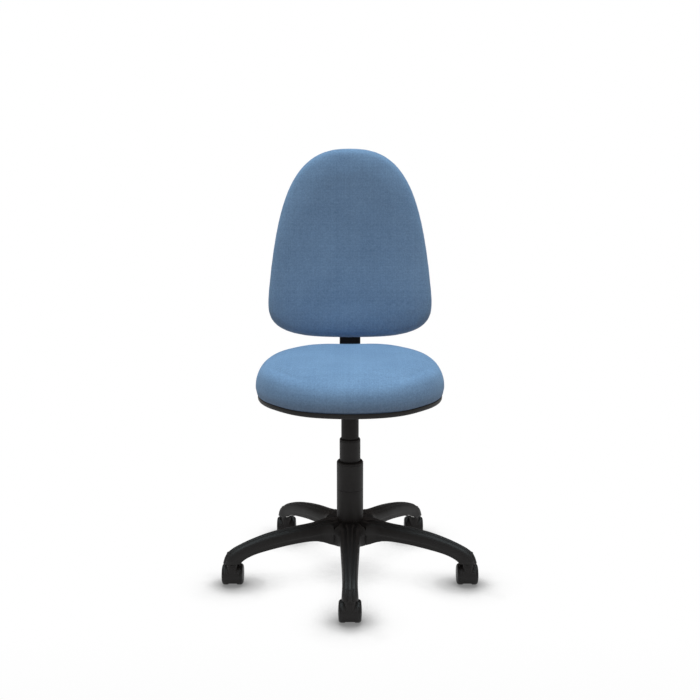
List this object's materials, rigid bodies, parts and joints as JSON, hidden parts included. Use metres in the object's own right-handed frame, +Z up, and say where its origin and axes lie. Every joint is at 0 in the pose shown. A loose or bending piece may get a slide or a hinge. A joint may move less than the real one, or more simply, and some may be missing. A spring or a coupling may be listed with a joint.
{
  "type": "swivel office chair",
  "caption": "Office swivel chair with a waterfall-front cushioned seat, a tall tapered padded back, levers under the seat, a gas-lift column and a star base on twin-wheel casters.",
  "frame": {"origin": "the point on the floor under the column's axis, at the middle of the caster circle", "axes": "+Z up along the column, -Y the way the sitter faces, +X to the right seen from in front"},
  "size_m": [0.6094, 0.6351, 1.0272],
  "materials": {
    "black_nylon": "fine moulded grain, semi-matt",
    "wheel_nylon": "smooth, semi-matt",
    "black_steel": "black powder coat",
    "zinc_steel": "zinc plated",
    "chrome": "hard chrome, polished",
    "plywood": "raw beech plywood",
    "blue_fabric": "plain woven wool-look upholstery"
  },
  "bodies": {
    "base": {"star_base": "black_nylon", "standing_tube": "black_steel", "thrust_bearing": "zinc_steel", "guide_bush": "black_nylon", "column_cover_lower": "black_nylon", "caster_1_stem": "zinc_steel", "caster_2_stem": "zinc_steel", "caster_3_stem": "zinc_steel", "caster_4_stem": "zinc_steel", "caster_5_stem": "zinc_steel"},
    "lift_rod": {"piston_rod": "chrome", "rod_clip": "zinc_steel"},
    "cover": {"column_cover_middle": "black_nylon"},
    "seat": {"pressure_tube": "black_steel", "column_cover_upper": "black_nylon", "mechanism_housing": "black_steel", "mechanism_plate": "black_steel", "tilt_axle": "zinc_steel", "seat_board": "plywood", "seat_shell": "black_nylon", "seat_cushion": "blue_fabric", "seat_screw_1": "zinc_steel", "seat_screw_2": "zinc_steel", "seat_screw_3": "zinc_steel", "seat_screw_4": "zinc_steel"},
    "valve_pin": {"release_pin": "zinc_steel"},
    "lift_handle": {"lift_lever": "black_steel", "lift_lever_grip": "black_nylon"},
    "tilt_handle": {"tilt_lever": "black_steel", "tilt_lever_grip": "black_nylon"},
    "bar": {"back_bar": "black_steel", "bar_sleeve": "black_nylon"},
    "back": {"back_bracket": "black_nylon", "back_board": "plywood", "back_shell": "black_nylon", "back_cushion": "blue_fabric", "back_screw_left": "zinc_steel", "back_screw_right": "zinc_steel"},
    "knob": {"height_knob": "black_nylon"},
    "caster_1": {"caster_1_hood": "black_nylon", "caster_1_axle": "zinc_steel"},
    "wheel_1_left": {"caster_1_wheel_left": "wheel_nylon"},
    "wheel_1_right": {"caster_1_wheel_right": "wheel_nylon"},
    "caster_2": {"caster_2_hood": "black_nylon", "caster_2_axle": "zinc_steel"},
    "wheel_2_left": {"caster_2_wheel_left": "wheel_nylon"},
    "wheel_2_right": {"caster_2_wheel_right": "wheel_nylon"},
    "caster_3": {"caster_3_hood": "black_nylon", "caster_3_axle": "zinc_steel"},
    "wheel_3_left": {"caster_3_wheel_left": "wheel_nylon"},
    "wheel_3_right": {"caster_3_wheel_right": "wheel_nylon"},
    "caster_4": {"caster_4_hood": "black_nylon", "caster_4_axle": "zinc_steel"},
    "wheel_4_left": {"caster_4_wheel_left": "wheel_nylon"},
    "wheel_4_right": {"caster_4_wheel_right": "wheel_nylon"},
    "caster_5": {"caster_5_hood": "black_nylon", "caster_5_axle": "zinc_steel"},
    "wheel_5_left": {"caster_5_wheel_left": "wheel_nylon"},
    "wheel_5_right": {"caster_5_wheel_right": "wheel_nylon"}
  },
  "joints": [
    {"name": "seat_swivel", "type": "hinge", "parent": "base", "child": "lift_rod", "pos_m": [0, 0, 0.07], "axis": [0, 0, 1], "continuous": true},
    {"name": "seat_lift", "type": "slide", "parent": "lift_rod", "child": "seat", "axis": [0, 0, 1], "range_m": [-0.11, 0]},
    {"name": "cover_slide", "type": "slide", "parent": "base", "child": "cover", "axis": [0, 0, 1], "range_m": [-0.055, 0]},
    {"name": "lift_lever_pull", "type": "hinge", "parent": "seat", "child": "lift_handle", "pos_m": [0.041, 0, 0.4328], "axis": [0, -1, 0], "range_deg": [0, 5.5], "stiffness_Nm_per_rad": 8, "springref_deg": -5.73},
    {"name": "valve_press", "type": "slide", "parent": "seat", "child": "valve_pin", "axis": [0, 0, -1], "range_m": [0, 0.0045]},
    {"name": "back_tilt", "type": "hinge", "parent": "seat", "child": "bar", "pos_m": [0, 0.085, 0.421], "axis": [-1, 0, 0], "range_deg": [-4, 14]},
    {"name": "back_height", "type": "slide", "parent": "bar", "child": "back", "axis": [0, 0.1392, 0.9903], "range_m": [0, 0.06]},
    {"name": "knob_turn", "type": "hinge", "parent": "back", "child": "knob", "pos_m": [0, 0.27522, 0.63408], "axis": [0, 0.9903, -0.1392], "range_deg": [0, 270]},
    {"name": "tilt_lever_turn", "type": "hinge", "parent": "seat", "child": "tilt_handle", "pos_m": [0, 0.085, 0.421], "axis": [-1, 0, 0], "range_deg": [0, 20]},
    {"name": "caster_1_swivel", "type": "hinge", "parent": "base", "child": "caster_1", "pos_m": [0, -0.293, 0.055], "axis": [0, 0, 1], "continuous": true},
    {"name": "caster_1_roll_left", "type": "hinge", "parent": "caster_1", "child": "wheel_1_left", "pos_m": [-0.018, -0.278, 0.025], "axis": [1, 0, 0], "continuous": true},
    {"name": "caster_1_roll_right", "type": "hinge", "parent": "caster_1", "child": "wheel_1_right", "pos_m": [0.018, -0.278, 0.025], "axis": [1, 0, 0], "continuous": true},
    {"name": "caster_2_swivel", "type": "hinge", "parent": "base", "child": "caster_2", "pos_m": [0.27866, -0.09054, 0.055], "axis": [0, 0, 1], "continuous": true},
    {"name": "caster_2_roll_left", "type": "hinge", "parent": "caster_2", "child": "wheel_2_left", "pos_m": [0.26066, -0.07554, 0.025], "axis": [1, 0, 0], "continuous": true},
    {"name": "caster_2_roll_right", "type": "hinge", "parent": "caster_2", "child": "wheel_2_right", "pos_m": [0.29666, -0.07554, 0.025], "axis": [1, 0, 0], "continuous": true},
    {"name": "caster_3_swivel", "type": "hinge", "parent": "base", "child": "caster_3", "pos_m": [0.17222, 0.23704, 0.055], "axis": [0, 0, 1], "continuous": true},
    {"name": "caster_3_roll_left", "type": "hinge", "parent": "caster_3", "child": "wheel_3_left", "pos_m": [0.15422, 0.25204, 0.025], "axis": [1, 0, 0], "continuous": true},
    {"name": "caster_3_roll_right", "type": "hinge", "parent": "caster_3", "child": "wheel_3_right", "pos_m": [0.19022, 0.25204, 0.025], "axis": [1, 0, 0], "continuous": true},
    {"name": "caster_4_swivel", "type": "hinge", "parent": "base", "child": "caster_4", "pos_m": [-0.17222, 0.23704, 0.055], "axis": [0, 0, 1], "continuous": true},
    {"name": "caster_4_roll_left", "type": "hinge", "parent": "caster_4", "child": "wheel_4_left", "pos_m": [-0.19022, 0.25204, 0.025], "axis": [1, 0, 0], "continuous": true},
    {"name": "caster_4_roll_right", "type": "hinge", "parent": "caster_4", "child": "wheel_4_right", "pos_m": [-0.15422, 0.25204, 0.025], "axis": [1, 0, 0], "continuous": true},
    {"name": "caster_5_swivel", "type": "hinge", "parent": "base", "child": "caster_5", "pos_m": [-0.27866, -0.09054, 0.055], "axis": [0, 0, 1], "continuous": true},
    {"name": "caster_5_roll_left", "type": "hinge", "parent": "caster_5", "child": "wheel_5_left", "pos_m": [-0.29666, -0.07554, 0.025], "axis": [1, 0, 0], "continuous": true},
    {"name": "caster_5_roll_right", "type": "hinge", "parent": "caster_5", "child": "wheel_5_right", "pos_m": [-0.26066, -0.07554, 0.025], "axis": [1, 0, 0], "continuous": true}
  ],
  "couplings": [
    {"joint": "cover_slide", "follows": "seat_lift", "ratio": 0.5},
    {"joint": "valve_press", "follows": "lift_lever_pull", "m_per_rad": 0.044}
  ]
}
